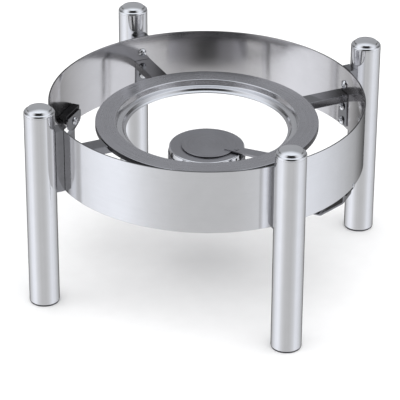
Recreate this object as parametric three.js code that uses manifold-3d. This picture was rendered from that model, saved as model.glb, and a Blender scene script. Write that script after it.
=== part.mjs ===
// Round chafing-dish stand with an alcohol burner: four tubular legs carry a hoop band,
// four arms hold a lift-off support ring, and a strap bridge holds the burner in the middle.
// Millimetres, +Z up, origin on the floor at the centre of the hoop.
// Every leg station is modelled once, with local +X radial, and turned to its own angle.
import * as THREE from 'three';
import { mergeVertices } from 'three/addons/utils/BufferGeometryUtils.js';
import Module from 'manifold-3d';

const wasm = await Module();
wasm.setup();

// Driving dimensions
const GAP = 0.3; // air left between touching pieces
const HOOP = { outer: 198.2, wall: 2, bottom: 154, top: 236.5, sides: 96 };
const LEG = { count: 4, firstAngle: 45, circle: 225.3, radius: 19, wall: 1.3, top: 270.7, sides: 36 };
const CAP = { height: 14.7, plug: 9, crown: 14.2, sheet: 1.6, sides: 28 };
const FOOT = { flange: 2, plug: 10, sides: 28 };
const SPACER = { width: 20 };
const ARM = { width: 22, depth: 10, sheet: 1.5, top: 203.6, inner: 118, flangeBottom: 158, flangeSheet: 2 };
const RING = { outer: 140.3, inner: 101.7, step: 115.1, top: 205.2, lip: 193.1, rim: 198.6, sheet: 1.3 };
const RING_SIDES = 72;
const NOTCH = { side: 0.6 }; // air on each side of an arm in the ring's rim
const BOLT = { shank: 3, head: 5.5, headHeight: 3.3, sides: 12, tip: 9 };
const BOLT_HEIGHTS = { upper: 214, flange_upper: 183, flange_lower: 163 };
const NUT_STRIP = { thickness: 6, width: 14, margin: 8 };
// The bridge runs beside the axis: shift moves its middle line sideways.
const BRIDGE = {
  angle: -3.5, shift: -3.5, width: 26, sheet: 2, seat: 112, end: 190.3, top: 166, boltHeight: 156,
};
const SLOPE = { start: 160.5, top: 136 }; // front rise of the bridge, from the seat to the hoop
// Rear end of the bridge: the strap steps inward and widens into a head with one bolt
const HEAD = { end: 184, width: 38, stepBottom: 149, bottom: 160, top: 178, boltHeight: 168 };
const PAD = { frontWidth: 28, frontBottom: 147, frontTop: 167, rearWidth: 39, rearBottom: 177, rearTop: 182 };
const BOSS = { radius: 7, web: 4 }; // boss of the rear pad around its bolt, and the web that holds it
const TRAY = { radius: 50.9, sheet: 1.2, lip: 6, rivetOffset: 36, sides: 48 };
const RIVET = { shank: 2, head: 3.6, headHeight: 1.4, sides: 12 };
const BURNER = {
  angle: -4.5, radius: 49, wall: 1, canTop: 161, lidRadius: 47.7, lidTop: 168.9, lidSheet: 1.2, sides: 48,
};
const LID = { flameHole: 24, skirtBottom: 156, vents: 12, ventWidth: 3, ventBottom: 158.5, ventTop: 166 };
const WOOL = { radius: 45.9, top: 162 };
const GAUZE = { radius: 30, sheet: 1.2 };
const PIVOT = { radius: 41, pin: 2, head: 3.2, headHeight: 1.3, bracketWidth: 9, bracketSheet: 1.4 };
const REGULATOR = { radius: 34.6, offset: 2.5, sheet: 1.5, leverTip: 94, rootWidth: 12, tipWidth: 16 };

const HOOP_INNER = HOOP.outer - HOOP.wall;
const LEG_BORE = LEG.radius - LEG.wall;
const LEG_INSIDE = LEG_BORE - 2 * GAP;
const CAP_SEAT = LEG.top - CAP.height;
const FLANGE_FACE = HOOP_INNER - 0.7; // flat flange inside a round hoop
const HOLE = BOLT.shank + GAP;

// Materials, by finish
const finish = (color, roughness, metalness) =>
  new THREE.MeshStandardMaterial({ color, roughness, metalness });
const polishedSteel = () => finish(0xd8dade, 0.14, 1);
const satinSteel = () => finish(0xb9bbbf, 0.32, 1);
const chrome = () => finish(0xe8eaee, 0.06, 1);
const darkSteel = () => finish(0x2e2f33, 0.45, 0.8);
const blackRubber = () => finish(0x17181a, 0.7, 0);
const brass = () => finish(0xb59a58, 0.3, 1);
const fibre = () => finish(0xe9e3d2, 0.95, 0);

// Merges shared corners, drops slivers of no area and turns the faces outward.
function weld(geometry) {
  const bare = geometry.clone();
  bare.deleteAttribute('normal');
  bare.deleteAttribute('uv');
  const merged = mergeVertices(bare, 1e-4);
  const corners = merged.getIndex().array;
  const kept = [];
  for (let i = 0; i < corners.length; i += 3) {
    const [a, b, c] = [corners[i], corners[i + 1], corners[i + 2]];
    if (a !== b && b !== c && c !== a) kept.push(a, b, c);
  }
  if (signedVolume(merged.getAttribute('position'), kept) < 0) kept.reverse();
  merged.setIndex(kept);
  return merged;
}

function signedVolume(position, corners) {
  const [a, b, c] = [new THREE.Vector3(), new THREE.Vector3(), new THREE.Vector3()];
  let total = 0;
  for (let i = 0; i < corners.length; i += 3) {
    a.fromBufferAttribute(position, corners[i]);
    b.fromBufferAttribute(position, corners[i + 1]);
    c.fromBufferAttribute(position, corners[i + 2]);
    total += a.dot(b.cross(c)) / 6;
  }
  return total;
}

// Boolean helpers: a cutter or partner is a closed geometry.
function solid(geometry) {
  const welded = weld(geometry);
  return new wasm.Manifold(new wasm.Mesh({
    numProp: 3,
    vertProperties: new Float32Array(welded.getAttribute('position').array),
    triVerts: new Uint32Array(welded.getIndex().array),
  }));
}

function geometryOf(manifold) {
  const mesh = manifold.getMesh();
  const geometry = new THREE.BufferGeometry();
  geometry.setAttribute('position', new THREE.BufferAttribute(new Float32Array(mesh.vertProperties), 3));
  geometry.setIndex(new THREE.BufferAttribute(new Uint32Array(mesh.triVerts), 1));
  return geometry;
}

const carve = (body, cutters) => cutters.reduce((rest, cutter) => rest.subtract(solid(cutter)), body);
const cut = (geometry, cutters) => carve(solid(geometry), cutters);
const join = (...geometries) => geometries.slice(1)
  .reduce((whole, geometry) => whole.add(solid(geometry)), solid(geometries[0]));

// Shape helpers: a profile is a list of [radius, height] points.
function turned(profile, sides) {
  const points = profile.map(([r, z]) => new THREE.Vector2(r, z));
  return new THREE.LatheGeometry(points, sides).rotateX(Math.PI / 2);
}

const turnedLoop = (profile, sides) => turned([...profile, profile[0]], sides);

function block([x0, x1], [y0, y1], [z0, z1]) {
  return new THREE.BoxGeometry(x1 - x0, y1 - y0, z1 - z0)
    .translate((x0 + x1) / 2, (y0 + y1) / 2, (z0 + z1) / 2);
}

const radialRod = (radius, x0, x1, z) =>
  new THREE.CylinderGeometry(radius, radius, x1 - x0, BOLT.sides)
    .rotateZ(-Math.PI / 2).translate((x0 + x1) / 2, 0, z);

const uprightRod = (radius, x, z0, z1) =>
  new THREE.CylinderGeometry(radius, radius, z1 - z0, BOLT.sides)
    .rotateX(Math.PI / 2).translate(x, 0, (z0 + z1) / 2);

// Sheet strip bent along a line of [x, z] points, centred on y = 0.
function bentStrip(line, sheet, width) {
  const points = line.map(([x, z]) => new THREE.Vector2(x, z));
  const side = (sign) => points.map((point, i) => {
    const before = points[Math.max(i - 1, 0)];
    const after = points[Math.min(i + 1, points.length - 1)];
    const into = point.equals(before) ? after.clone().sub(point) : point.clone().sub(before);
    const out = point.equals(after) ? into : after.clone().sub(point);
    const normal = into.clone().normalize().add(out.clone().normalize()).normalize();
    const halfTurn = into.angleTo(out) / 2;
    const reach = (sign * sheet) / 2 / Math.cos(halfTurn);
    return new THREE.Vector2(point.x - normal.y * reach, point.y + normal.x * reach);
  });
  const outline = new THREE.Shape([...side(1), ...side(-1).reverse()]);
  return new THREE.ExtrudeGeometry(outline, { depth: width, bevelEnabled: false })
    .rotateX(Math.PI / 2).translate(0, width / 2, 0);
}

function piece(name, shape, material) {
  const geometry = shape instanceof THREE.BufferGeometry ? weld(shape) : geometryOf(shape);
  geometry.computeVertexNormals();
  const mesh = new THREE.Mesh(geometry, material);
  mesh.name = name;
  return mesh;
}

function turnedGroup(degrees, pieces) {
  const group = new THREE.Group();
  group.rotation.z = THREE.MathUtils.degToRad(degrees);
  group.add(...pieces);
  return group;
}

const legAngles = Array.from({ length: LEG.count }, (_, i) => LEG.firstAngle + (i * 360) / LEG.count);
const boltHeights = Object.values(BOLT_HEIGHTS);
const bridgeEnds = [
  { place: 'front', turn: 0, shift: BRIDGE.shift, end: BRIDGE.end, boltHeight: BRIDGE.boltHeight,
    width: PAD.frontWidth, bottom: PAD.frontBottom, top: PAD.frontTop },
  { place: 'rear', turn: 180, shift: -BRIDGE.shift, end: HEAD.end, boltHeight: HEAD.boltHeight,
    width: PAD.rearWidth, bottom: PAD.rearBottom, top: PAD.rearTop },
];

// Hoop band with the clearance holes of its leg bolts and bridge bolts
function hoopBand() {
  const band = turnedLoop([
    [HOOP_INNER, HOOP.bottom], [HOOP.outer, HOOP.bottom], [HOOP.outer, HOOP.top], [HOOP_INNER, HOOP.top],
  ], HOOP.sides);
  const holeAt = (degrees, z, y = 0) => radialRod(HOLE, HOOP_INNER - 8, HOOP.outer + 5, z)
    .translate(0, y, 0).rotateZ(THREE.MathUtils.degToRad(degrees));
  const legHoles = legAngles.flatMap((angle) => boltHeights.map((z) => holeAt(angle, z)));
  const bridgeHoles = bridgeEnds.map(({ turn, boltHeight, shift }) =>
    holeAt(BRIDGE.angle + turn, boltHeight, shift));
  return piece('hoop_band', cut(band, [...legHoles, ...bridgeHoles]), polishedSteel());
}

// Leg: tube, domed cap, foot plug, threaded strip inside and saddle spacer to the hoop
function legTube(label) {
  const foot = FOOT.flange + GAP;
  const tube = turnedLoop([
    [LEG_BORE, foot], [LEG.radius, foot], [LEG.radius, CAP_SEAT - GAP], [LEG_BORE, CAP_SEAT - GAP],
  ], LEG.sides).translate(LEG.circle, 0, 0);
  const holes = boltHeights.map((z) => radialRod(HOLE, LEG.circle - LEG.radius - 3, LEG.circle - 12, z));
  return piece(`leg_tube_${label}`, cut(tube, holes), satinSteel());
}

function legCap(label) {
  const shoulder = LEG.top - 5.2;
  const bore = LEG_INSIDE - CAP.sheet;
  const cap = turned([
    [0, LEG.top - CAP.sheet], [bore, shoulder], [bore, CAP_SEAT - CAP.plug],
    [LEG_INSIDE, CAP_SEAT - CAP.plug], [LEG_INSIDE, CAP_SEAT],
    [LEG.radius, CAP_SEAT], [LEG.radius, shoulder], [LEG.radius - 0.9, shoulder + 2.6],
    [LEG.radius - 2.8, shoulder + 4], [CAP.crown, shoulder + 4.5], [CAP.crown * 0.55, LEG.top - 0.15],
    [0, LEG.top],
  ], CAP.sides).translate(LEG.circle, 0, 0);
  return piece(`leg_cap_${label}`, cap, chrome());
}

function footPlug(label) {
  const plug = turned([
    [0, 0], [LEG.radius - 1, 0], [LEG.radius - 0.2, 0.8], [LEG.radius - 0.2, FOOT.flange],
    [LEG_INSIDE, FOOT.flange], [LEG_INSIDE, FOOT.flange + FOOT.plug], [0, FOOT.flange + FOOT.plug],
  ], FOOT.sides).translate(LEG.circle, 0, 0);
  return piece(`foot_plug_${label}`, plug, blackRubber());
}

function legNutStrip(label) {
  const half = NUT_STRIP.width / 2;
  const face = LEG.circle - Math.sqrt(LEG_BORE ** 2 - half ** 2) + GAP;
  const heights = [Math.min(...boltHeights) - NUT_STRIP.margin, Math.max(...boltHeights) + NUT_STRIP.margin];
  const strip = block([face, face + NUT_STRIP.thickness], [-half, half], heights);
  const holes = boltHeights.map((z) => radialRod(HOLE, face - 1, face + NUT_STRIP.thickness + 1, z));
  return piece(`leg_nut_strip_${label}`, cut(strip, holes), satinSteel());
}

function legSpacer(label) {
  const half = SPACER.width / 2;
  const body = block([HOOP.outer + GAP, LEG.circle - LEG.radius + 5], [-half, half], [HOOP.bottom, HOOP.top]);
  const saddle = new THREE.CylinderGeometry(LEG.radius + GAP, LEG.radius + GAP, LEG.top, LEG.sides)
    .rotateX(Math.PI / 2).translate(LEG.circle, 0, LEG.top / 2);
  const holes = boltHeights.map((z) => radialRod(HOLE, HOOP.outer, LEG.circle, z));
  return piece(`leg_spacer_${label}`, cut(body, [saddle, ...holes]), satinSteel());
}

// Arm: inverted channel with its end turned down into a bolted flange
function ringArm(label) {
  const half = ARM.width / 2;
  const innerHalf = half - ARM.sheet;
  const flangeStart = FLANGE_FACE - ARM.flangeSheet;
  const channel = block([ARM.inner, FLANGE_FACE], [-half, half], [ARM.top - ARM.depth, ARM.top]);
  const hollow = block([ARM.inner - 1, flangeStart], [-innerHalf, innerHalf],
    [ARM.top - ARM.depth - 1, ARM.top - ARM.sheet]);
  const flange = block([flangeStart, FLANGE_FACE], [-half, half], [ARM.flangeBottom, ARM.top]);
  const holes = [BOLT_HEIGHTS.flange_upper, BOLT_HEIGHTS.flange_lower]
    .map((z) => radialRod(HOLE, flangeStart - 3, FLANGE_FACE + 3, z));
  const body = cut(channel, [hollow]).add(solid(flange));
  return piece(`ring_arm_${label}`, carve(body, holes), satinSteel());
}

// Button-head bolt: the head sits on the face at x = seat and the shank runs outward to x = tip.
function buttonBolt(name, seat, tip, z) {
  const { shank, head, headHeight } = BOLT;
  const bolt = turned([
    [0, tip - seat], [shank, tip - seat], [shank, 0], [head, 0], [head, -headHeight * 0.35],
    [head * 0.72, -headHeight * 0.85], [0, -headHeight],
  ], BOLT.sides).rotateY(Math.PI / 2).translate(seat, 0, z);
  return piece(name, bolt, chrome());
}

function legBolts(label) {
  const tip = LEG.circle - BOLT.tip;
  const flangeSeat = FLANGE_FACE - ARM.flangeSheet - GAP;
  return Object.entries(BOLT_HEIGHTS).map(([place, z]) =>
    buttonBolt(`${place}_bolt_${label}`, place === 'upper' ? HOOP_INNER - 2 * GAP : flangeSeat, tip, z));
}

function legStation(angle, index) {
  const label = index + 1;
  return turnedGroup(angle, [
    legTube(label), legCap(label), footPlug(label), legNutStrip(label), legSpacer(label), ringArm(label),
    ...legBolts(label),
  ]);
}

// Support ring: flat face for the pan, a stepped well around the opening, and a down-turned rim
// with a notch over each arm
function supportRing() {
  const { outer, inner, step, top, lip, rim, sheet } = RING;
  const upper = [
    [outer, rim], [outer, top], [step, top], [step - 1.9, top - 7.3], [step - 8.5, top - 8.1],
    [step - 10.5, lip + 1], [inner, lip],
  ];
  const lower = [
    [inner, lip - sheet], [step - 9.7, lip - 0.3], [step - 7.6, top - 9.4], [step - 0.8, top - 8.5],
    [step + 1.1, top - sheet], [outer - sheet, top - sheet], [outer - sheet, rim],
  ];
  const half = ARM.width / 2 + NOTCH.side;
  const notches = legAngles.map((angle) =>
    block([outer - 6, outer + 6], [-half, half], [rim - 5, top - sheet])
      .rotateZ(THREE.MathUtils.degToRad(angle)));
  return piece('support_ring', cut(turnedLoop([...upper, ...lower], RING_SIDES), notches), satinSteel());
}

// Bridge strap: a widened head and an upright drop at the rear, a flat seat,
// and a slope that rises to the bolt at the front
function bridgeStrap() {
  const { end, seat, top, sheet, width } = BRIDGE;
  const strap = bentStrip([
    [-HEAD.end, HEAD.top], [-HEAD.end, HEAD.bottom], [-end, HEAD.stepBottom], [-end, seat + 7],
    [-end + 6, seat], [SLOPE.start, seat], [end, SLOPE.top], [end, top],
  ], sheet, width);
  const headHalf = HEAD.width / 2;
  const head = block([-HEAD.end - sheet / 2, -HEAD.end + sheet / 2], [-headHalf, headHalf],
    [HEAD.bottom, HEAD.top]);
  const boltHoles = bridgeEnds.map((place) => radialRod(HOLE, place.end - 4, place.end + 4, place.boltHeight)
    .rotateZ(THREE.MathUtils.degToRad(place.turn)));
  const rivetHoles = [-1, 1].map((side) =>
    uprightRod(RIVET.shank + GAP, side * TRAY.rivetOffset, seat - 4, seat + 4));
  return piece('burner_bridge', carve(join(strap, head), [...boltHoles, ...rivetHoles]), satinSteel());
}

// Block between a bridge end and the round hoop; where its bolt passes below it, it has a boss
function bridgePad({ place, shift, end, boltHeight, width, bottom, top }) {
  const half = width / 2;
  const reach = (halfWidth) => Math.sqrt(HOOP_INNER ** 2 - (halfWidth + Math.abs(shift)) ** 2) - 2 * GAP;
  const inner = end + BRIDGE.sheet / 2 + GAP;
  const parts = [block([inner, reach(half)], [-half, half], [bottom, top])];
  if (boltHeight < bottom) {
    const outer = reach(BOSS.radius);
    parts.push(radialRod(BOSS.radius, inner, outer, boltHeight));
    parts.push(block([inner, outer], [-BOSS.web, BOSS.web], [boltHeight + HOLE + 1, bottom + 1]));
  }
  const hole = radialRod(HOLE, inner - 2, HOOP.outer, boltHeight);
  return piece(`bridge_pad_${place}`, carve(join(...parts), [hole]), blackRubber());
}

function bridgeBolt({ place, end, boltHeight }) {
  const seat = end - BRIDGE.sheet / 2 - GAP;
  return buttonBolt(`bridge_bolt_${place}`, seat, HOOP.outer - GAP, boltHeight);
}

function trayRivet(name, x) {
  const { shank, head, headHeight } = RIVET;
  const under = BRIDGE.seat - BRIDGE.sheet / 2 - GAP;
  const over = BRIDGE.seat + BRIDGE.sheet / 2 + TRAY.sheet + 2 * GAP;
  const rivet = turned([
    [0, under - headHeight], [head, under - headHeight / 2], [head, under], [shank, under],
    [shank, over], [head, over], [head, over + 0.3], [0, over + 0.5],
  ], RIVET.sides).translate(x, 0, 0);
  return piece(name, rivet, satinSteel());
}

const TRAY_FLOOR = BRIDGE.seat + BRIDGE.sheet / 2 + GAP;
const BURNER_BASE = TRAY_FLOOR + TRAY.sheet + 1.2;

function burnerTray() {
  const { radius, sheet, lip } = TRAY;
  const tray = turned([
    [0, TRAY_FLOOR], [radius - 1.5, TRAY_FLOOR], [radius, TRAY_FLOOR + 1.5], [radius, TRAY_FLOOR + lip],
    [radius - sheet, TRAY_FLOOR + lip], [radius - sheet, TRAY_FLOOR + sheet], [0, TRAY_FLOOR + sheet],
  ], TRAY.sides);
  const holes = [-1, 1].map((side) =>
    uprightRod(RIVET.shank + GAP, side * TRAY.rivetOffset, TRAY_FLOOR - 2, TRAY_FLOOR + sheet + 2)
      .translate(0, BRIDGE.shift, 0));
  return piece('burner_tray', cut(tray, holes), satinSteel());
}

function bridgeGroup() {
  const beside = (object) => {
    object.position.y = BRIDGE.shift;
    return object;
  };
  return turnedGroup(BRIDGE.angle, [
    beside(bridgeStrap()),
    ...bridgeEnds.map((place) => beside(turnedGroup(place.turn, [bridgePad(place), bridgeBolt(place)]))),
    beside(trayRivet('tray_rivet_front', TRAY.rivetOffset)),
    beside(trayRivet('tray_rivet_rear', -TRAY.rivetOffset)),
    burnerTray(),
  ]);
}

// Burner: open can, wool filling, gauze under the flame hole and vented lid
function burnerCan() {
  const { radius, wall, canTop } = BURNER;
  const base = BURNER_BASE;
  return piece('burner_can', turned([
    [0, base], [radius - 2, base], [radius, base + 2], [radius, canTop], [radius - wall, canTop],
    [radius - wall, base + 2], [radius - 2 - wall, base + wall], [0, base + wall],
  ], BURNER.sides), satinSteel());
}

function burnerWool() {
  const base = BURNER_BASE + BURNER.wall + GAP;
  return piece('burner_wool', turned([
    [0, base], [WOOL.radius - 2, base], [WOOL.radius, base + 2], [WOOL.radius, WOOL.top - 2],
    [WOOL.radius - 2, WOOL.top], [0, WOOL.top],
  ], BURNER.sides / 2), fibre());
}

function flameGauze() {
  const top = BURNER.lidTop - BURNER.lidSheet - GAP;
  return piece('flame_gauze', turned([
    [0, top - GAUZE.sheet], [GAUZE.radius, top - GAUZE.sheet], [GAUZE.radius, top], [0, top],
  ], BURNER.sides / 2), brass());
}

function burnerLid() {
  const { lidRadius, lidTop, lidSheet } = BURNER;
  const bore = lidRadius - lidSheet;
  const lid = turnedLoop([
    [LID.flameHole, lidTop - lidSheet], [LID.flameHole, lidTop], [lidRadius - 0.9, lidTop],
    [lidRadius, lidTop - 0.9], [lidRadius, LID.skirtBottom], [bore, LID.skirtBottom],
    [bore, lidTop - lidSheet],
  ], BURNER.sides);
  const half = LID.ventWidth / 2;
  const vents = Array.from({ length: LID.vents }, (_, i) =>
    block([bore - 3, lidRadius + 3], [-half, half], [LID.ventBottom, LID.ventTop])
      .rotateZ(THREE.MathUtils.degToRad((i + 0.5) * (360 / LID.vents))));
  const pinHole = uprightRod(PIVOT.pin + GAP, PIVOT.radius, lidTop - 4, lidTop + 4);
  return piece('burner_lid', cut(lid, [...vents, pinHole]), satinSteel());
}

// Regulator: damper disc and lever on one rim pivot, so the disc swings off the flame hole
const BRACKET_TOP = BURNER.lidTop + GAP + PIVOT.bracketSheet;
const LEVER_FLOOR = BRACKET_TOP + GAP;

function pivotBracket() {
  const middle = BRACKET_TOP - PIVOT.bracketSheet / 2;
  const side = BURNER.lidRadius + GAP + PIVOT.bracketSheet / 2;
  const bracket = bentStrip([[PIVOT.radius - 4, middle], [side, middle], [side, BURNER.canTop + 2 * GAP]],
    PIVOT.bracketSheet, PIVOT.bracketWidth);
  const hole = uprightRod(PIVOT.pin + GAP, PIVOT.radius, middle - 2, middle + 2);
  return piece('pivot_bracket', cut(bracket, [hole]), darkSteel());
}

function pivotPin() {
  const { pin, head, headHeight } = PIVOT;
  const under = BURNER.lidTop - BURNER.lidSheet - GAP;
  const over = LEVER_FLOOR + REGULATOR.sheet + GAP;
  return piece('pivot_pin', turned([
    [0, under - headHeight], [head, under - headHeight], [head, under], [pin, under],
    [pin, over], [head, over], [head * 0.8, over + headHeight], [0, over + headHeight],
  ], RIVET.sides).translate(PIVOT.radius, 0, 0), satinSteel());
}

function regulatorPlate() {
  const { radius, offset, sheet, leverTip, rootWidth, tipWidth } = REGULATOR;
  const discFloor = BURNER.lidTop + GAP;
  const disc = new THREE.CylinderGeometry(radius, radius, LEVER_FLOOR + 0.2 - discFloor, BURNER.sides)
    .rotateX(Math.PI / 2).translate(offset, 0, (discFloor + LEVER_FLOOR + 0.2) / 2);
  const outline = new THREE.Shape();
  outline.moveTo(radius - 8, rootWidth / 2);
  outline.lineTo(radius - 8, -rootWidth / 2);
  outline.lineTo(leverTip - tipWidth / 2, -tipWidth / 2);
  outline.absarc(leverTip - tipWidth / 2, 0, tipWidth / 2, -Math.PI / 2, Math.PI / 2, false);
  outline.closePath();
  const lever = new THREE.ExtrudeGeometry(outline, { depth: sheet, bevelEnabled: false, curveSegments: 10 })
    .translate(0, 0, LEVER_FLOOR);
  const relief = block([PIVOT.radius - 6, leverTip], [-radius, radius], [discFloor - 1, LEVER_FLOOR]);
  const pinHole = uprightRod(PIVOT.pin + GAP, PIVOT.radius, LEVER_FLOOR - 2, LEVER_FLOOR + 4);
  return piece('regulator_plate', carve(join(disc, lever), [relief, pinHole]), satinSteel());
}

function burnerGroup() {
  return turnedGroup(BURNER.angle, [
    burnerCan(), burnerWool(), flameGauze(), burnerLid(), pivotBracket(), pivotPin(), regulatorPlate(),
  ]);
}

const stand = new THREE.Group();
stand.add(hoopBand(), supportRing(), bridgeGroup(), burnerGroup(), ...legAngles.map(legStation));

export default stand;
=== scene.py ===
"""Looks of a round chafing stand with an alcohol burner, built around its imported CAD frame.

Lengths in the mesh code are millimetres; a mesh is scaled to metres when it becomes an object.
Every leg station and the bridge are modelled along +X and turned to their own angle.
"""

import math
from collections import namedtuple

import bmesh
import bpy
from mathutils import Matrix, Vector


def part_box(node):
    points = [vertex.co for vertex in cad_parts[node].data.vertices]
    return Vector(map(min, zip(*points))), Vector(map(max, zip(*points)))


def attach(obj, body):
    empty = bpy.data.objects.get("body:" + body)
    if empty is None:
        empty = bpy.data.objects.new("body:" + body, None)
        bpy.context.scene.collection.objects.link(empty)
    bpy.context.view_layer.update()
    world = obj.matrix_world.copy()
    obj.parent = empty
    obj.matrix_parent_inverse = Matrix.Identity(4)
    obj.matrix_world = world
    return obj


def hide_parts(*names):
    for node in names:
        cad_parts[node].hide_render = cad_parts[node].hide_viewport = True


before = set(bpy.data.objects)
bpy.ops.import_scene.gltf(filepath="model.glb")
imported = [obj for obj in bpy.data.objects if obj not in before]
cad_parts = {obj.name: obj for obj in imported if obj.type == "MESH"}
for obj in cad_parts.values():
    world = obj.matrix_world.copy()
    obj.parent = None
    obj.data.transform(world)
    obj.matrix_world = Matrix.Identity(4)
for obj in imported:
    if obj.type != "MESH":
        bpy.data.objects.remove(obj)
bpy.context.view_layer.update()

MM = 0.001


# ---------------------------------------------------------------- sizes, from the CAD where they can be

def heights(node):
    """Lowest and highest z of a CAD node, in millimetres."""
    low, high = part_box(node)
    return low.z / MM, high.z / MM


def outer_radius(node):
    """Radius of a round CAD node, in millimetres."""
    low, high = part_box(node)
    return (high.x - low.x) / 2 / MM


def off_axis(node):
    """Distance of a CAD node's middle from the stand's axis, in millimetres."""
    low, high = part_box(node)
    middle = (low + high) / 2 / MM
    return math.hypot(middle.x, middle.y)


BOLT_HOLE = 3.3  # radius
RIVET_HOLE = 2.3  # radius

HOOP_BOTTOM, HOOP_TOP = heights("hoop_band")
HOOP_OUTER = outer_radius("hoop_band")
HOOP_INNER = HOOP_OUTER - 2

LEG_ANGLES = (45, 135, 225, 315)
LEG_CIRCLE = off_axis("leg_tube_1")
LEG_RADIUS = 19.0
LEG_BORE = LEG_RADIUS - 1.3
LEG_FOOT, _ = heights("leg_tube_1")
CAP_LOW, CAP_TOP = heights("leg_cap_1")
BOLTS_Z = {"upper": 214, "flange_upper": 183, "flange_lower": 163}

RING_LIP, RING_TOP = heights("support_ring")
RING_OUTER = outer_radius("support_ring")
RING_INNER = 101.7
RING_STEP = 115.1
ARM_LOW, ARM_TOP = heights("ring_arm_1")
ARM_END = HOOP_INNER - 0.7
ARM_HALF = 11.0

BRIDGE_ANGLE = -3.5
BRIDGE_SHIFT = -3.5
BRIDGE_SEAT = 112
BRIDGE_TOP = 166
# face is the x of the strap's upright end and bolt the z of its screw. half, low and high are the
# half width and the lowest and highest z of the pad between the strap and the hoop.
End = namedtuple("End", "name turn shift face bolt half low high")
BRIDGE_ENDS = (
    End("front", 0, BRIDGE_SHIFT, 190.3, 156, 14, 147, 167),
    End("rear", 180, -BRIDGE_SHIFT, 184.0, 168, 19.5, 177, 182),
)
TRAY_FLOOR, TRAY_LIP = heights("burner_tray")
RIVETS_X = {"front": 36, "rear": -36}

BURNER_ANGLE = -4.5
CAN_BASE, CAN_TOP = heights("burner_can")
CAN_RADIUS = outer_radius("burner_can")
LID_LOW, LID_TOP = heights("burner_lid")
LID_RADIUS = outer_radius("burner_lid")
LID_SHEET = 1.2
PIVOT_X = 41


# ---------------------------------------------------------------- mesh helpers

def rounded(points, closed=True, steps=5):
    """Points of a line whose corners, given as (x, y, radius), become arcs."""
    line = []
    for i, (x, y, radius) in enumerate(points):
        corner = Vector((x, y))
        if radius <= 0 or (not closed and i in (0, len(points) - 1)):
            line.append(corner)
            continue
        back = Vector(points[i - 1][:2]) - corner
        ahead = Vector(points[(i + 1) % len(points)][:2]) - corner
        half = back.angle(ahead) / 2
        if half > math.radians(88):
            line.append(corner)
            continue
        reach = min(radius / math.tan(half), 0.48 * back.length, 0.48 * ahead.length)
        radius = reach * math.tan(half)
        inward = (back.normalized() + ahead.normalized()).normalized()
        middle = corner + inward * (radius / math.sin(half))
        start = corner + back.normalized() * reach - middle
        end = corner + ahead.normalized() * reach - middle
        first = math.atan2(start.y, start.x)
        sweep = (math.atan2(end.y, end.x) - first + math.pi) % (2 * math.pi) - math.pi
        for k in range(steps + 1):
            a = first + sweep * k / steps
            line.append(middle + radius * Vector((math.cos(a), math.sin(a))))
    return line


def circle(radius, sides, x=0.0, y=0.0):
    turns = [2 * math.pi * k / sides for k in range(sides)]
    return [(x + radius * math.cos(a), y + radius * math.sin(a)) for a in turns]


def turned(line, sides, closed=True):
    """Mesh of a line of (radius, z) turned about Z. Points on the axis become one vertex."""
    bm = bmesh.new()
    rings = []
    for r, z in line:
        points = [(0, 0)] if r < 1e-6 else circle(r, sides)
        rings.append([bm.verts.new((x, y, z)) for x, y in points])
    pairs = list(zip(rings, rings[1:])) + ([(rings[-1], rings[0])] if closed else [])
    for a, b in pairs:
        for k in range(sides):
            n = (k + 1) % sides
            corners = [a[k % len(a)], a[n % len(a)], b[n % len(b)], b[k % len(b)]]
            unique = list(dict.fromkeys(corners))
            if len(unique) > 2:
                bm.faces.new(unique)
    return bm


def lathed(points, sides, steps=5):
    """Solid whose rounded outline of (radius, z, corner radius) starts and ends on the axis."""
    return turned(rounded(points, closed=False, steps=steps), sides, closed=False)


def slab(outline, low, high):
    """Mesh of an outline of (x, y) points, extruded from z = low to z = high."""
    bm = bmesh.new()
    floor = [bm.verts.new((x, y, low)) for x, y in outline]
    roof = [bm.verts.new((x, y, high)) for x, y in outline]
    bm.faces.new(floor)
    bm.faces.new(roof)
    for k in range(len(outline)):
        n = (k + 1) % len(outline)
        bm.faces.new((floor[k], floor[n], roof[n], roof[k]))
    return bm


def box(x0, x1, y0, y1, z0, z1):
    return slab([(x0, y0), (x1, y0), (x1, y1), (x0, y1)], z0, z1)


def tipped(bm, degrees, axis):
    turn = Matrix.Rotation(math.radians(degrees), 3, axis)
    bmesh.ops.rotate(bm, verts=bm.verts, cent=(0, 0, 0), matrix=turn)
    return bm


def moved(bm, x=0.0, y=0.0, z=0.0, turn=0.0):
    bmesh.ops.translate(bm, verts=bm.verts, vec=(x, y, z))
    return tipped(bm, turn, "Z")


def strip(line, sheet, half_width):
    """Bent sheet strip along a line of (x, z) points, centred on y = 0."""
    sides = []
    for sign in (1, -1):
        side = []
        for i, p in enumerate(line):
            before = p - line[i - 1] if i else line[1] - p
            after = line[i + 1] - p if i + 1 < len(line) else p - line[i - 1]
            normal = before.normalized() + after.normalized()
            normal = Vector((-normal.y, normal.x)).normalized()
            reach = sign * sheet / 2 / max(math.cos(before.angle(after) / 2), 0.3)
            side.append(p + normal * reach)
        sides.append(side)
    return tipped(slab([*sides[0], *reversed(sides[1])], -half_width, half_width), 90, "X")


def rod(radius, x0, x1, y=0.0, z=0.0, sides=24):
    """Closed cylinder along X."""
    return moved(tipped(slab(circle(radius, sides), x0, x1), 90, "Y"), 0, y, z)


def post(radius, x, z0, z1, y=0.0):
    """Closed upright cylinder."""
    return slab(circle(radius, 24, x, y), z0, z1)


def bolt_holes(x0, x1, levels):
    return [rod(BOLT_HOLE, x0, x1, 0, z) for z in levels]


def joined(*parts):
    """Several separate closed meshes as one."""
    whole = bmesh.new()
    for part in parts:
        mesh = bpy.data.meshes.new("work")
        part.to_mesh(mesh)
        part.free()
        whole.from_mesh(mesh)
        bpy.data.meshes.remove(mesh)
    return whole


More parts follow.
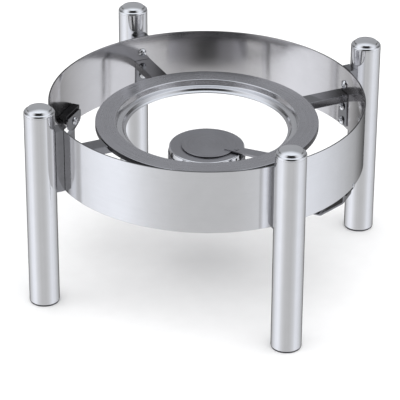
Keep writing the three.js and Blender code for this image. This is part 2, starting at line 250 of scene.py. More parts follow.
def bored(bm, cutters, operation="DIFFERENCE"):
    """The mesh after a boolean with each closed cutter mesh."""
    for cutter in cutters:
        objects = []
        for part in (bm, cutter):
            bmesh.ops.recalc_face_normals(part, faces=part.faces)
            mesh = bpy.data.meshes.new("work")
            part.to_mesh(mesh)
            part.free()
            objects.append(bpy.data.objects.new("work", mesh))
            bpy.context.scene.collection.objects.link(objects[-1])
        body, tool = objects
        modifier = body.modifiers.new("cut", "BOOLEAN")
        modifier.object, modifier.operation, modifier.solver = tool, operation, "EXACT"
        bpy.context.view_layer.update()
        evaluated = body.evaluated_get(bpy.context.evaluated_depsgraph_get())
        result = bpy.data.meshes.new_from_object(evaluated)
        bm = bmesh.new()
        bm.from_mesh(result)
        for obj in objects:
            mesh = obj.data
            bpy.data.objects.remove(obj)
            bpy.data.meshes.remove(mesh)
        bpy.data.meshes.remove(result)
    return bm


def piece(name, bm, material, body, nodes, turn=0.0, bevel=0.0, sharp=35, segments=3):
    """Turns a mesh in millimetres into a finished piece that rides on a body."""
    bmesh.ops.remove_doubles(bm, verts=bm.verts, dist=0.002)
    bmesh.ops.recalc_face_normals(bm, faces=bm.faces)
    mesh = bpy.data.meshes.new(name)
    bm.to_mesh(mesh)
    bm.free()
    mesh.transform(Matrix.Rotation(math.radians(turn), 4, "Z") @ Matrix.Scale(MM, 4))
    mesh.shade_smooth()
    mesh.set_sharp_from_angle(angle=math.radians(sharp))
    mesh.materials.append(material)
    obj = bpy.data.objects.new(name, mesh)
    bpy.context.scene.collection.objects.link(obj)
    if bevel:
        edge = obj.modifiers.new("edge", "BEVEL")
        edge.width, edge.segments, edge.limit_method = bevel * MM, segments, "ANGLE"
        edge.angle_limit = math.radians(sharp)
    weighted = obj.modifiers.new("weighted", "WEIGHTED_NORMAL")
    weighted.keep_sharp = not bevel
    weighted.weight = 100
    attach(obj, body)
    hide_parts(*nodes)


# ---------------------------------------------------------------- materials

class Nodes:
    """Short way to fill a node tree."""

    def __init__(self, tree):
        self.tree = tree

    def node(self, kind, inputs=(), **settings):
        """A new node. Each input is a value or a socket to link."""
        made = self.tree.nodes.new(kind)
        for key, value in settings.items():
            setattr(made, key, value)
        for key, value in dict(inputs).items():
            if isinstance(value, bpy.types.NodeSocket):
                self.tree.links.new(value, made.inputs[key])
            else:
                made.inputs[key].default_value = value
        return made

    def math(self, operation, *values):
        return self.node("ShaderNodeMath", dict(enumerate(values)), operation=operation).outputs[0]

    def vector(self, operation, *values, output="Vector"):
        made = self.node("ShaderNodeVectorMath", dict(enumerate(values)), operation=operation)
        return made.outputs[output]

    def scaled(self, vector, scale):
        return self.node("ShaderNodeVectorMath", {0: vector, "Scale": scale}, operation="SCALE").outputs[0]

    def split(self, vector):
        return self.node("ShaderNodeSeparateXYZ", {0: vector}).outputs

    def spread(self, value, low, high, start=0.3, stop=0.7, curve="LINEAR"):
        """A value from start to stop becomes one from low to high."""
        return self.node("ShaderNodeMapRange", {
            "Value": value, "From Min": start, "From Max": stop, "To Min": low, "To Max": high,
        }, interpolation_type=curve).outputs["Result"]

    def blend(self, factor, a, b):
        return self.node("ShaderNodeMix", {0: factor, 6: a, 7: b}, data_type="RGBA").outputs[2]

    def ramp(self, value, stops):
        """Colour ramp of (position, brightness, blue tint)."""
        made = self.node("ShaderNodeValToRGB", {"Fac": value})
        made.color_ramp.interpolation = "B_SPLINE"
        elements = made.color_ramp.elements
        while len(elements) < len(stops):
            elements.new(0.5)
        for element, (position, level, tint) in zip(elements, stops):
            element.position = position
            element.color = (level * (1 - tint), level * (1 - tint * 0.4), level * (1 + tint), 1)
        return made.outputs["Color"]


class Surface(Nodes):
    """Short way to build one node material."""

    def __init__(self, name):
        self.material = bpy.data.materials.new(name)
        self.material.use_nodes = True
        super().__init__(self.material.node_tree)
        self.shader = self.tree.nodes["Principled BSDF"]
        self.place = self.node("ShaderNodeTexCoord").outputs["Object"]

    def set(self, **values):
        for key, value in values.items():
            self.shader.inputs[key.replace("_", " ")].default_value = value

    def link(self, output, socket):
        self.tree.links.new(output, self.shader.inputs[socket])

    def stretched(self, scale):
        """Object coordinates in metres times a scale for each axis."""
        return self.vector("MULTIPLY", self.place, scale)

    def height(self):
        return self.split(self.place)["Z"]

    def radius(self):
        """Distance from the stand's axis, in metres, and the direction away from it."""
        xyz = self.split(self.place)
        flat = self.node("ShaderNodeCombineXYZ", {"X": xyz["X"], "Y": xyz["Y"]}).outputs[0]
        return self.vector("LENGTH", flat, output="Value"), self.vector("NORMALIZE", flat)

    def round_grain(self, across, along):
        """Coordinates that are stretched along circles about the stand's axis."""
        distance, away = self.radius()
        spun = self.split(self.scaled(away, along))
        depth = self.math("MULTIPLY", self.math("ADD", distance, self.height()), across)
        return self.node("ShaderNodeCombineXYZ", {"X": spun["X"], "Y": spun["Y"], "Z": depth}).outputs[0]

    def noise(self, vector, scale, detail=3.0, roughness=0.5):
        return self.node("ShaderNodeTexNoise", {
            "Vector": vector, "Scale": scale, "Detail": detail, "Roughness": roughness,
        }).outputs["Fac"]

    def bump(self, *layers):
        """Stacks (height, strength, depth in millimetres) layers into the shader's normal."""
        normal = None
        for height, strength, depth in layers:
            inputs = {"Height": height, "Strength": strength, "Distance": depth * MM}
            if normal:
                inputs["Normal"] = normal
            normal = self.node("ShaderNodeBump", inputs).outputs["Normal"]
        self.link(normal, "Normal")


def metal(name, colour, rough, grain, smudge=0.04, line=0.3, brushed=0.0, dull=0.85, inside=None,
          shaded_edge_radius=None, rim=None):
    """Steel with grain lines, faint rubbed patches and a few hairline scratches.

    dull is the brightness left in the darkest grain, smudge the roughness a rubbed patch adds or
    takes, line the strength of the grain's relief. brushed stretches reflections across grain that
    runs round the stand. inside is the limit radius in millimetres, the colour and the roughness of
    the finish nearer the axis; on the band that darker, warmer colour is painted shade on its inner
    face. outside is the radius beyond which the colour is darkened as painted shade on a
    turned-down edge, and rim the height above which the colour is darkened.
    """
    n = Surface(name)
    n.set(Metallic=1.0, Anisotropic=brushed)
    if brushed:
        n.link(n.vector("ADD", n.radius()[1], (0, 0, 1.3)), "Tangent")
    if grain == "round":
        lines, coarse = n.round_grain(2600, 3), n.round_grain(520, 1.2)
    elif grain == "upright":
        lines, coarse = n.stretched((2600, 2600, 22)), n.stretched((620, 620, 5))
    else:
        lines, coarse = n.stretched((900, 900, 900)), n.stretched((160, 160, 160))
    fine = n.noise(lines, 1.0, 2.0)
    broad = n.noise(coarse, 1.0, 3.0)
    patch = n.noise(n.place, 17.0, 4.0, 0.55)
    cloud = n.noise(n.place, 60.0, 5.0, 0.6)
    cells = n.node("ShaderNodeTexVoronoi", {
        "Vector": n.stretched((60, 60, 9)), "Scale": 1.3, "Randomness": 1.0,
    }, feature="DISTANCE_TO_EDGE").outputs["Distance"]
    where = n.spread(patch, 0.0, 1.0, 0.52, 0.7)
    scratches = n.math("MULTIPLY", n.spread(cells, 1.0, 0.0, 0.0, 0.006), where)

    base, level = colour, rough
    # Nearer the axis than the limit another colour and roughness take over; on the band this darker,
    # warmer colour is painted shade on its inner face.
    if inside:
        limit, inner_colour, inner_rough = inside
        mask = n.spread(n.radius()[0], 1.0, 0.0, (limit - 0.3) * MM, (limit + 0.3) * MM)
        base = n.blend(mask, [*colour, 1], [*inner_colour, 1])
        level = n.spread(mask, rough, inner_rough, 0.0, 1.0)
    shade = n.math("MULTIPLY", n.spread(broad, dull, 1.0, 0.25, 0.75), n.spread(cloud, 1.0, 0.97))
    # Beyond that radius the colour drops to a quarter: painted shade on the ring's turned-down edge.
    if shaded_edge_radius:
        edge = n.spread(n.radius()[0], 1.0, 0.25, shaded_edge_radius * MM, (shaded_edge_radius + 0.3) * MM)
        shade = n.math("MULTIPLY", shade, edge)
    # Above the rim height the colour drops to about a fifth: a darker top edge.
    if rim:
        edge = n.spread(n.height(), 1.0, 0.22, rim * MM, (rim + 0.3) * MM)
        shade = n.math("MULTIPLY", shade, edge)
    n.link(n.scaled(base, shade), "Base Color")

    uneven = n.math("ADD", n.spread(patch, -smudge, smudge, 0.35, 0.65), n.spread(fine, -0.02, 0.03))
    level = n.math("ADD", n.math("ADD", uneven, level), n.math("MULTIPLY", scratches, 0.04))
    n.link(n.math("MAXIMUM", level, 0.02), "Roughness")
    n.bump((fine, line, 0.02), (broad, line * 0.6, 0.03))
    return n.material


def rubber(name, low, high, colour=(0.022, 0.022, 0.024), gloss=0.5):
    """Moulded black rubber: fine pitted skin, edges greyed by wear and a painted highlight, and gloss
    between two roughnesses.
    """
    n = Surface(name)
    n.set(Specular_IOR_Level=gloss)
    pits = n.noise(n.place, 1400.0, 2.0)
    swell = n.noise(n.place, 90.0, 4.0)
    # Lighter colour on sharp edges: partly wear, partly a painted edge highlight.
    edge_wear_and_highlight = n.spread(n.node("ShaderNodeNewGeometry").outputs["Pointiness"], 0.0, 1.0, 0.5, 0.58)
    tone = n.blend(n.spread(swell, 0.0, 1.0), [*colour, 1], [c * 1.9 for c in colour] + [1])
    n.link(n.blend(n.math("MULTIPLY", edge_wear_and_highlight, 0.3), tone, [c * 3.5 for c in colour] + [1]), "Base Color")
    n.link(n.spread(swell, low, high), "Roughness")
    n.bump((pits, 0.25, 0.05), (swell, 0.2, 0.15))
    return n.material


def fibre(name):
    """Packed heat-proof fibre."""
    n = Surface(name)
    strands = n.noise(n.stretched((900, 900, 300)), 1.0, 6.0, 0.7)
    clump = n.noise(n.place, 120.0, 4.0)
    n.link(n.blend(n.spread(clump, 0.0, 1.0), (0.62, 0.55, 0.42, 1), (0.82, 0.79, 0.7, 1)), "Base Color")
    n.link(n.spread(strands, 0.85, 1.0), "Roughness")
    n.bump((strands, 0.8, 0.8), (clump, 0.8, 2.0))
    return n.material


def heat_tinted(name):
    """Brass wire dulled by heat: browner patches over the yellow."""
    n = Surface(name)
    n.set(Metallic=1.0)
    heat = n.noise(n.place, 70.0, 4.0)
    grain = n.noise(n.place, 1800.0, 2.0)
    n.link(n.blend(n.spread(heat, 0.0, 1.0), (0.6, 0.46, 0.22, 1), (0.3, 0.2, 0.12, 1)), "Base Color")
    n.link(n.spread(heat, 0.28, 0.5), "Roughness")
    n.bump((grain, 0.3, 0.02))
    return n.material


BARE_STEEL = (0.88, 0.88, 0.895)
FORMED_STEEL = (0.86, 0.86, 0.88)
DULL_STEEL = (0.45, 0.445, 0.465)
# The band's inner face gets a darker, warmer colour: painted shade inside the hoop.
POLISHED = metal("polished_steel", BARE_STEEL, 0.12, "round", smudge=0.02, line=0.04, brushed=0.95,
                 dull=0.98, inside=(HOOP_OUTER - 1, (0.74, 0.725, 0.73), 0.11), rim=HOOP_TOP - 0.4)
TUBE = metal("satin_tube", BARE_STEEL, 0.1, "upright", smudge=0.02, line=0.06, brushed=0.85, dull=0.96)
SATIN = metal("satin_plate", DULL_STEEL, 0.34, "round", brushed=0.25, dull=0.88)
LID_STEEL = metal("lid_plate", FORMED_STEEL, 0.14, "round", line=0.1, brushed=0.5, dull=0.94,
                  inside=(LID_RADIUS - 1.2, DULL_STEEL, 0.34))
# The ring's turned-down outer edge is darkened to a quarter: painted shade.
RING_STEEL = metal("ring_plate", (0.58, 0.575, 0.6), 0.27, "round", brushed=0.25, dull=0.88,
                   inside=(RING_STEP + 0.6, FORMED_STEEL, 0.15), shaded_edge_radius=RING_OUTER - 0.35)
ARM_STEEL = metal("arm_steel", (0.31, 0.31, 0.325), 0.07, "plain", line=0.06, dull=0.9)
CHROME = metal("bright_chrome", (0.92, 0.925, 0.945), 0.045, "plain", smudge=0.015, line=0.04,
               dull=0.97)
# Near-black steel for the rim bracket: painted shade at the lid's side under the lever.
PAINTED_SHADE_STEEL = metal("dark_steel", (0.07, 0.07, 0.075), 0.4, "plain")
RUBBER = rubber("black_rubber", 0.32, 0.5)
BLOCK = rubber("black_block", 0.12, 0.2, colour=(0.004, 0.004, 0.0045), gloss=0.25)
WOOL = fibre("wool")
GAUZE = heat_tinted("gauze")


# ---------------------------------------------------------------- hoop, legs and arms

def hoop_band():
    low, high, edge, bands = HOOP_BOTTOM, HOOP_TOP, 0.7, 14
    levels = [low + (high - low) * k / bands for k in range(1, bands)]
    line = rounded([
        (HOOP_OUTER, low, edge), *[(HOOP_OUTER, z, 0) for z in levels], (HOOP_OUTER, high, edge),
        (HOOP_INNER, high, edge), *[(HOOP_INNER, z, 0) for z in reversed(levels)], (HOOP_INNER, low, edge),
    ])
    band = turned(line, 256)
    holes = [moved(hole, turn=angle) for angle in LEG_ANGLES
             for hole in bolt_holes(HOOP_INNER - 6, HOOP_OUTER + 5, BOLTS_Z.values())]
    for end in BRIDGE_ENDS:
        hole = rod(BOLT_HOLE, HOOP_INNER - 8, HOOP_OUTER + 5, end.shift, end.bolt)
        holes.append(moved(hole, turn=BRIDGE_ANGLE + end.turn))
    piece("band", bored(band, [joined(*holes)]), POLISHED, "stand", ["hoop_band"])


def leg(tag, angle):
    """Tube with its domed cap and rubber foot, and the spacer between it and the hoop."""
    outer, bore, plug = LEG_RADIUS, LEG_BORE, LEG_BORE - 0.6
    seam = CAP_TOP - 8.2
    tube = turned(rounded([
        (outer, LEG_FOOT, 0.3), (outer, seam, 0.1), (bore, seam, 0.1), (bore, LEG_FOOT, 0.2),
    ]), 96)
    piece(f"leg_{tag}_tube", moved(tube, x=LEG_CIRCLE), TUBE, "stand", [f"leg_tube_{tag}"],
          turn=angle)

    shoulder = [(outer - 3 + 3 * math.sin(a), CAP_TOP - 7.6 + 3.3 * math.cos(a), 0)
                for a in map(math.radians, range(10, 91, 8))]
    cup = bore - 2.2
    cap = lathed([
        (0, CAP_TOP, 0), (4, CAP_TOP - 0.12, 3), (8, CAP_TOP - 0.5, 3), (11.5, CAP_TOP - 1.05, 3),
        (14.2, CAP_TOP - 1.65, 0.5), (15.2, CAP_TOP - 3.1, 2), (15.9, CAP_TOP - 4.7, 0.2),
        (16.2, CAP_TOP - 4.75, 0.1), *shoulder, (outer, seam + 0.1, 0.1), (plug, seam + 0.1, 0.1),
        (plug, CAP_LOW, 0.5), (cup, CAP_LOW, 0.3), (cup, CAP_TOP - 6, 1), (0, CAP_TOP - 2.2, 0),
    ], 96, steps=6)
    piece(f"leg_{tag}_cap", moved(cap, x=LEG_CIRCLE), CHROME, "stand", [f"leg_cap_{tag}"],
          turn=angle)

    flange, under, inside = outer - 0.3, LEG_FOOT - 0.3, 12
    foot = lathed([
        (0, 0.5, 0), (12, 0.5, 0.4), (13, 0, 0.4), (flange, 0, 0.8), (flange, under, 0.3),
        (plug, under, 0), (plug, inside, 0.6), (0, inside, 0),
    ], 64)
    piece(f"leg_{tag}_foot", moved(foot, x=LEG_CIRCLE), RUBBER, "stand",
          [f"foot_plug_{tag}"], turn=angle)

    half, hollow, steps = 10, 19.3, 8
    turns = [math.asin(half / hollow) * k / steps for k in range(steps, -steps - 1, -1)]
    back = [(LEG_CIRCLE - hollow * math.cos(a), hollow * math.sin(a)) for a in turns]
    front = [(math.sqrt((HOOP_OUTER + 0.3) ** 2 - y * y), y) for y in (-half, -5, 0, 5, half)]
    spacer = slab([*front, *back], HOOP_BOTTOM, HOOP_TOP)
    spacer = bored(spacer, bolt_holes(HOOP_OUTER - 4, LEG_CIRCLE, BOLTS_Z.values()))
    piece(f"leg_{tag}_spacer", spacer, ARM_STEEL, "stand", [f"leg_spacer_{tag}"], turn=angle,
          bevel=0.35, sharp=50, segments=2)


def ring_arm(tag, angle):
    """Channel of folded sheet, open below, whose end is bent down into a flange on the hoop."""
    half, depth, sheet, start, end = ARM_HALF, 10.0, 1.5, 118.0, ARM_END
    top, under = ARM_TOP, ARM_TOP - depth
    skin = bmesh.new()
    corner = {}

    def face(*points):
        for key in points:
            if key not in corner:
                corner[key] = skin.verts.new(key)
        skin.faces.new([corner[key] for key in points])

    face((start, -half, top), (end, -half, top), (end, half, top), (start, half, top))
    face((start, -half, under), (end, -half, under), (end, -half, top), (start, -half, top))
    face((start, half, top), (end, half, top), (end, half, under), (start, half, under))
    face((end, -half, under), (end, half, under), (end, half, top), (end, -half, top))
    face((end, -half, ARM_LOW), (end, half, ARM_LOW), (end, half, under), (end, -half, under))
    bmesh.ops.recalc_face_normals(skin, faces=skin.faces)
    if any(f.normal.z < -0.9 for f in skin.faces):
        bmesh.ops.reverse_faces(skin, faces=skin.faces)
    bmesh.ops.solidify(skin, geom=skin.faces[:], thickness=sheet)
    arm = bored(skin, bolt_holes(end - 8, end + 4, [BOLTS_Z["flange_upper"], BOLTS_Z["flange_lower"]]))
    piece(f"arm_{tag}", arm, ARM_STEEL, "stand", [f"ring_arm_{tag}"], turn=angle,
          bevel=0.55, sharp=40)


def screw(name, node, seat, tip, y, z, turn):
    """Pan-head screw with a cross recess, turned by an angle that depends on its height.

    Its head sits at x = seat and looks towards the axis.
    """
    head, shank, point = 5.5, 3, seat - tip
    body = lathed([
        (0, 3.3, 0), (3.0, 2.95, 4), (5.0, 1.5, 1.6), (head, 0.3, 0.4), (head, 0, 0.15), (shank, 0, 0.1),
        (shank, point + 0.5, 0), (2.5, point, 0), (0, point, 0),
    ], 48)
    body = bored(body, [box(-2.5, 2.5, -0.5, 0.5, 1.7, 6), box(-0.5, 0.5, -2.5, 2.5, 1.7, 6)])
    body = tipped(tipped(body, 27 + z, "Z"), -90, "Y")
    piece(name, moved(body, seat, y, z), CHROME, "stand", [node], turn=turn, sharp=32)


def leg_station(tag, angle):
    leg(tag, angle)
    ring_arm(tag, angle)
    for place, z in BOLTS_Z.items():
        seat = HOOP_INNER - 0.6 if place == "upper" else ARM_END - 2.3
        screw(f"leg_{tag}_screw_{place}", f"{place}_bolt_{tag}", seat, LEG_CIRCLE - 9, 0, z, angle)


# ---------------------------------------------------------------- support ring

def support_ring():
    """Dished ring of sheet with a notch for each arm in its turned-down rim."""
    top, lip, rim, wall = RING_TOP, RING_LIP, RING_TOP - 6.6, 1.3
    line = rounded([
        (RING_OUTER, rim, 0.3), (RING_OUTER, top, 0.9), (RING_STEP, top, 1.1),
        (RING_STEP - 1.9, top - 7.3, 1.4), (RING_STEP - 8.5, top - 8.1, 1.2),
        (RING_STEP - 10.5, lip + 2.4, 1.2), (RING_INNER, lip + 1.3, 0.4), (RING_INNER, lip, 0.4),
        (RING_STEP - 9.7, lip + 1.0, 1.0), (RING_STEP - 7.6, top - 9.4, 1.2),
        (RING_STEP - 0.8, top - 8.5, 1.2), (RING_STEP + 1.1, top - wall, 0.8),
        (RING_OUTER - wall, top - wall, 0.4), (RING_OUTER - wall, rim, 0.3),
    ])
    half, roof = ARM_HALF + 0.6, top - wall - 0.05
    notches = [moved(box(RING_OUTER - 5, RING_OUTER + 5, -half, half, rim - 4, roof), turn=angle)
               for angle in LEG_ANGLES]
    ring = bored(turned(line, 256), [joined(*notches)])
    piece("ring", ring, RING_STEEL, "support_ring", ["support_ring"])


# ---------------------------------------------------------------- bridge and tray

def bridge_strap():
    """Bent strap that carries the tray, with a wide plate at its rear end."""
    front, rear = [end.face for end in BRIDGE_ENDS]
    seat = BRIDGE_SEAT
    line = rounded([
        (-rear, 178, 0), (-rear, 160, 3), (-front, 149, 4), (-front, seat, 5), (160.5, seat, 6),
        (front, 136, 5), (front, BRIDGE_TOP, 0),
    ], closed=False, steps=6)
    plate = slab(rounded([(160, -19, 8), (178, -19, 4), (178, 19, 4), (160, 19, 8)]), -1, 1)
    strap = bored(strip(line, 2, 13), [moved(tipped(plate, -90, "Y"), x=-rear)], "UNION")
    holes = [moved(rod(BOLT_HOLE, end.face - 6, end.face + 6, 0, end.bolt), turn=end.turn)
             for end in BRIDGE_ENDS]
    rivets = [post(RIVET_HOLE, x, seat - 4, seat + 4) for x in RIVETS_X.values()]
    strap = bored(strap, [joined(*holes, *rivets)])
    piece("strap", moved(strap, y=BRIDGE_SHIFT), ARM_STEEL, "stand", ["burner_bridge"],
          turn=BRIDGE_ANGLE)


def bridge_end(end):
    """Pad between the strap and the hoop, with a web and boss down to a screw that sits below it."""
    inner, reach, steps, turn = end.face + 1.3, HOOP_INNER - 0.6, 12, BRIDGE_ANGLE + end.turn
    edge = [2 * end.half * k / steps - end.half for k in range(steps + 1)]
    back = [(math.sqrt(reach ** 2 - (y + end.shift) ** 2), y) for y in edge]
    pad = slab([(inner, -end.half), *back, (inner, end.half)], end.low, end.high)
    if end.bolt < end.low:
        web = box(inner + 0.4, 194.8, -4, 4, end.bolt + 4.5, end.low + 1)
        boss = rod(7, inner, 195, 0, end.bolt, sides=48)
        pad = bored(pad, [web, boss], "UNION")
    pad = bored(pad, [rod(BOLT_HOLE, inner - 3, HOOP_OUTER, 0, end.bolt)])
    piece(f"pad_{end.name}", moved(pad, y=end.shift), BLOCK, "stand",
          [f"bridge_pad_{end.name}"], turn=turn, bevel=0.6, sharp=50)
    screw(f"bridge_screw_{end.name}", f"bridge_bolt_{end.name}", end.face - 1.3, HOOP_OUTER + 1,
          end.shift, end.bolt, turn)


def tray():
    floor, radius, sheet = TRAY_FLOOR, outer_radius("burner_tray"), 1.2
    dish = lathed([
        (0, floor, 0), (radius, floor, 1.8), (radius, TRAY_LIP, 0.5), (radius - sheet, TRAY_LIP, 0.5),
        (radius - sheet, floor + sheet, 1.0), (0, floor + sheet, 0),
    ], 128)
    holes = [post(RIVET_HOLE, x, floor - 3, floor + 4, BRIDGE_SHIFT) for x in RIVETS_X.values()]
    piece("tray", bored(dish, [joined(*holes)]), SATIN, "stand", ["burner_tray"],
          turn=BRIDGE_ANGLE)

    head, shank, under, over = 3.6, 2, BRIDGE_SEAT - 1.3, floor + 1.5
    for name, x in RIVETS_X.items():
        rivet = lathed([
            (0, under - 1.4, 0), (2.2, under - 1.3, 2), (head, under - 0.4, 0.6), (head, under, 0.1),
            (shank, under, 0.1), (shank, over, 0.1), (head, over, 0.1), (3.4, over + 0.3, 0.2),
            (0, over + 0.5, 0),
        ], 32)
        piece(f"rivet_{name}", moved(rivet, x=x, y=BRIDGE_SHIFT), CHROME, "stand",
              [f"tray_rivet_{name}"], turn=BRIDGE_ANGLE)


# ---------------------------------------------------------------- burner and regulator

def can():
    base, sheet = CAN_BASE, 1
    pot = lathed([
        (0, base + 0.8, 0), (CAN_RADIUS - 8, base + 0.8, 1.5), (CAN_RADIUS - 5, base, 1.2),
        (CAN_RADIUS, base, 2.6), (CAN_RADIUS, CAN_TOP, 0.45), (CAN_RADIUS - sheet, CAN_TOP, 0.45),
        (CAN_RADIUS - sheet, base + sheet, 1.8), (0, base + 1.8, 0),
    ], 160)
    piece("can", pot, SATIN, "burner", ["burner_can"])


def lid():
    """Lid with a flame opening, air slots round it and a hole for the pivot pin."""
    opening, slot_low = 24, LID_LOW + 7
    wall, roof = LID_RADIUS - LID_SHEET, LID_TOP - LID_SHEET
    cover = turned(rounded([
        (opening, roof, 0.3), (opening, LID_TOP, 0.5), (opening + 2, LID_TOP, 0),
        (LID_RADIUS, LID_TOP, 1.3), (LID_RADIUS, slot_low, 0), (LID_RADIUS, LID_LOW, 0.3),
        (wall, LID_LOW, 0.3), (wall, slot_low, 0), (wall, roof, 0.5),
    ]), 192)
    outline = rounded([(42, -1.5, 0.1), (52, -1.5, 0.1), (52, 1.5, 0.1), (42, 1.5, 0.1)])
    slots = [moved(slab(outline, LID_LOW + 2.5, LID_LOW + 10), turn=(k + 0.5) * 30) for k in range(12)]
    pin_hole = post(RIVET_HOLE, PIVOT_X, LID_TOP - 4, LID_TOP + 4)
    cover = bored(cover, [joined(*slots, pin_hole)])
    piece("lid", cover, LID_STEEL, "burner", ["burner_lid"], turn=BURNER_ANGLE)


def rim_bracket():
    """Small strap from the pivot pin over the edge of the lid."""
    sheet = 1.4
    middle = LID_TOP + 0.3 + sheet / 2
    side = LID_RADIUS + 1.0
    line = rounded([(37, middle, 0), (side, middle, 1.2), (side, CAN_TOP + 0.6, 0)], closed=False)
    bracket = bored(strip(line, sheet, 4.5), [post(RIVET_HOLE, PIVOT_X, middle - 3, middle + 3)])
    # The bracket's near-black colour is painted shade under the lever.
    piece("rim_bracket", bracket, PAINTED_SHADE_STEEL, "burner", ["pivot_bracket"], turn=BURNER_ANGLE,
          bevel=0.25, sharp=45)


def pivot_pin():
    low, high = heights("pivot_pin")
    head, shank, under, over = 3.2, 2, LID_TOP - LID_SHEET - 0.3, high - 1.3
    top = over + 0.5
    pin = lathed([
        (0, low, 0), (head, low, 0.4), (head, under, 0.1), (shank, under, 0.1), (shank, over, 0.1),
        (head, over, 0.1), (3.1, top - 0.1, 0.2), (1.2, top, 0.2), (0, top, 0),
    ], 40)
    piece("pin", moved(pin, x=PIVOT_X), SATIN, "burner", ["pivot_pin"], turn=BURNER_ANGLE)


def woven_wire(k, way, radius, pitch, middle):
    """Wavy wire number k from the middle of the gauze; way 0 runs along X and way 1 along Y."""
    offset, sides = k * pitch, 6
    reach = math.sqrt(radius ** 2 - offset ** 2)
    steps = max(8, int(reach / 0.6))
    bm = bmesh.new()
    rings = []
    for s in range(steps + 1):
        along = -reach + 2 * reach * s / steps
        lift = 0.26 * math.cos(math.pi * along / pitch) * (1 if (k + way) % 2 else -1)
        section = circle(0.28, sides, offset, middle + lift)
        rings.append([bm.verts.new((along, y, z) if way == 0 else (-y, along, z)) for y, z in section])
    for before, after in zip(rings, rings[1:]):
        for a in range(sides):
            b = (a + 1) % sides
            bm.faces.new((before[a], before[b], after[b], after[a]))
    bm.faces.new(rings[0])
    bm.faces.new(rings[-1])
    bmesh.ops.recalc_face_normals(bm, faces=bm.faces)
    return bm


def gauze():
    """Woven wires inside a flat rim. The packed fibre under them is the CAD's own node."""
    low, high = heights("flame_gauze")
    radius, pitch, rim_inner, rim_outer, edge = 29.0, 2.4, 28.4, 30, 0.25
    count = int(radius // pitch)
    wires = [woven_wire(k, way, radius, pitch, (low + high) / 2)
             for way in (0, 1) for k in range(-count, count + 1)]
    rim = turned(rounded([(rim_inner, low, edge), (rim_outer, low, edge), (rim_outer, high, edge),
                          (rim_inner, high, edge)]), 96)
    piece("gauze_disc", joined(*wires, rim), GAUZE, "burner", ["flame_gauze"], sharp=80)


def regulator():
    """Disc that covers the flame opening, with a lever that has a turned-down skirt on each side."""
    low, high = heights("regulator_plate")
    radius, shift, tip, end, lever_low = 34.6, 2.5, 94.0, 8, high - 1.5
    top = lever_low + 0.2
    disc = lathed([
        (0, low, 0), (radius - 1.0, low, 0.2), (radius, lever_low - 0.3, 0.2), (radius - 0.3, top, 0.3),
        (0, top, 0),
    ], 128)
    nose = [(tip - end + end * math.cos(a), end * math.sin(a))
            for a in map(math.radians, range(-90, 91, 12))]
    lever = slab([(radius - 8, -6), *nose, (radius - 8, 6)], lever_low, high)
    plate = bored(moved(disc, x=shift), [lever], "UNION")
    relief = box(35, 120, -50, 50, low - 1, lever_low)
    plate = bored(plate, [relief, post(RIVET_HOLE, PIVOT_X, low - 4, high + 4)])
    for near, far in ((-6.1, -7.4), (6.1, 7.4)):
        outline = [(52, near - 0.5), (87, far - 0.5), (87, far + 0.5), (52, near + 0.5)]
        plate = bored(plate, [slab(outline, lever_low - 1.6, lever_low + 0.4)], "UNION")
    piece("regulator", plate, SATIN, "regulator", ["regulator_plate"], turn=BURNER_ANGLE)


hoop_band()
for tag, angle in enumerate(LEG_ANGLES, start=1):
    leg_station(tag, angle)
support_ring()
bridge_strap()
for end in BRIDGE_ENDS:
    bridge_end(end)
tray()
can()
lid()
rim_bracket()
pivot_pin()
gauze()
regulator()

# The CAD nodes that no piece replaces keep their shape and get a material.
for name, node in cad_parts.items():
    if node.hide_render:
        continue
    material = WOOL if name == "burner_wool" else TUBE
    node.data.materials.clear()
    node.data.materials.append(material)


# ---------------------------------------------------------------- studio and camera

VIEW_TURN = math.radians(19.05 + 0.18)  # the camera stands this far round from straight in front
PITCH = math.radians(28.85)
ROLL = math.radians(0.35)
SIGHT = Vector((-math.sin(VIEW_TURN) * math.cos(PITCH),
                math.cos(VIEW_TURN) * math.cos(PITCH), -math.sin(PITCH)))
EYE = Vector((0.8610, -2.4929, 1.5429))


def camera():
    data = bpy.data.cameras.new("camera")
    data.lens, data.sensor_width = 212.0, 36.0
    data.clip_start, data.clip_end = 0.1, 60
    right = SIGHT.cross(Vector((0, 0, 1))).normalized()
    up = right.cross(SIGHT)
    rolled_right = right * math.cos(ROLL) + up * math.sin(ROLL)
    rolled_up = up * math.cos(ROLL) - right * math.sin(ROLL)
    matrix = Matrix((rolled_right, rolled_up, -SIGHT)).transposed().to_4x4()
    matrix.translation = EYE
    obj = bpy.data.objects.new("camera", data)
    obj.matrix_world = matrix
    bpy.context.scene.collection.objects.link(obj)
    bpy.context.scene.camera = obj


def floor():
    mesh = bpy.data.meshes.new("floor")
    bm = bmesh.new()
    bmesh.ops.create_grid(bm, x_segments=1, y_segments=1, size=12)
    bm.to_mesh(mesh)
    bm.free()
    n = Surface("floor")
    n.set(Roughness=0.9, Specular_IOR_Level=0.1)
    speck = n.noise(n.place, 40.0, 4.0)
    n.link(n.blend(n.spread(speck, 0.0, 1.0), (0.9, 0.9, 0.9, 1), (0.92, 0.92, 0.92, 1)), "Base Color")
    mesh.materials.append(n.material)
    obj = bpy.data.objects.new("floor", mesh)
    obj.visible_glossy = False
    bpy.context.scene.collection.objects.link(obj)


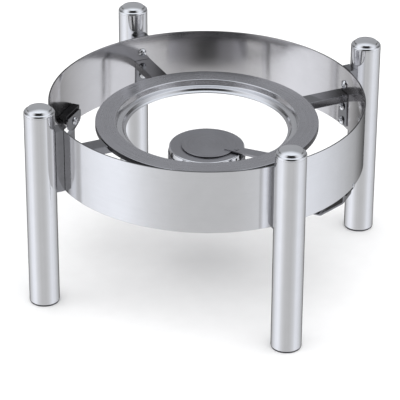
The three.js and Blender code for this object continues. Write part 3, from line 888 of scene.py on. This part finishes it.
def tent():
    """World of a soft tent: bright on both sides and overhead, greyer in front, dark behind and
    nearly black high up in front.

    Only reflections show the tent; the camera and diffuse light get one even near-white.
    """
    world = bpy.data.worlds.new("studio")
    world.use_nodes = True
    n = Nodes(world.node_tree)
    front = (math.sin(VIEW_TURN), -math.cos(VIEW_TURN), 0)
    right = (math.cos(VIEW_TURN), math.sin(VIEW_TURN), 0)
    ray = n.node("ShaderNodeTexCoord").outputs["Generated"]
    height = n.split(ray)["Z"]
    flat = n.vector("NORMALIZE", n.vector("MULTIPLY", ray, (1, 1, 0)))
    facing = n.spread(n.vector("DOT_PRODUCT", flat, front, output="Value"), 0.0, 1.0, -1.0, 1.0)
    lower = n.ramp(facing, [(0.0, 0.05, 0.0), (0.05, 0.14, 0.0), (0.14, 0.46, 0.01), (0.33, 0.72, 0.03),
                            (0.52, 0.9, 0.04), (0.71, 0.97, 0.04), (0.81, 0.83, 0.03), (0.94, 0.6, 0.01),
                            (1.0, 0.57, 0.01)])
    upper = n.ramp(facing, [(0.0, 0.42, 0.03), (0.1, 0.26, 0.01), (0.2, 0.05, 0.0), (0.32, 0.2, 0.01),
                            (0.5, 0.85, 0.04), (0.72, 0.95, 0.04), (0.87, 0.55, 0.02), (0.93, 0.03, 0.0),
                            (1.0, 0.03, 0.0)])
    walls = n.blend(n.spread(height, 0.0, 1.0, -0.12, 0.16, "SMOOTHSTEP"), lower, upper)
    leaning = n.math("MULTIPLY_ADD", n.vector("DOT_PRODUCT", ray, front, output="Value"), -0.22, height)
    roofed = n.blend(n.spread(leaning, 0.0, 1.0, 0.76, 0.9, "SMOOTHSTEP"), walls, (0.9, 0.94, 1.0, 1))
    side = n.math("MULTIPLY_ADD", n.vector("DOT_PRODUCT", ray, right, output="Value"), -0.08, 0.98)
    path = n.node("ShaderNodeLightPath").outputs
    plain = n.math("MAXIMUM", path["Is Camera Ray"], path["Is Diffuse Ray"])
    shown = n.blend(plain, n.scaled(roofed, side), (0.95, 0.95, 0.955, 1))
    background = n.tree.nodes["Background"]
    n.tree.links.new(shown, background.inputs["Color"])
    background.inputs["Strength"].default_value = 1.0
    bpy.context.scene.world = world


def softbox(name, place, side, power):
    """Square area light that looks at the middle of the stand and doesn't show in reflections."""
    data = bpy.data.lights.new(name, "AREA")
    data.shape, data.size, data.energy = "SQUARE", side, power
    obj = bpy.data.objects.new(name, data)
    obj.location = place
    obj.rotation_euler = (Vector(place) - Vector((0, 0, 0.15))).to_track_quat("Z", "Y").to_euler()
    obj.visible_glossy = False
    bpy.context.scene.collection.objects.link(obj)


camera()
floor()
tent()
softbox("softbox_top", (0.2, -0.4, 2.6), 3.0, 34)
softbox("softbox_left", (-2.4, -1.2, 1.8), 2.0, 14)
softbox("softbox_right", (2.6, 0.4, 1.8), 2.0, 12)
bpy.context.scene.view_settings.view_transform = "Standard"
bpy.context.scene.view_settings.look = "None"
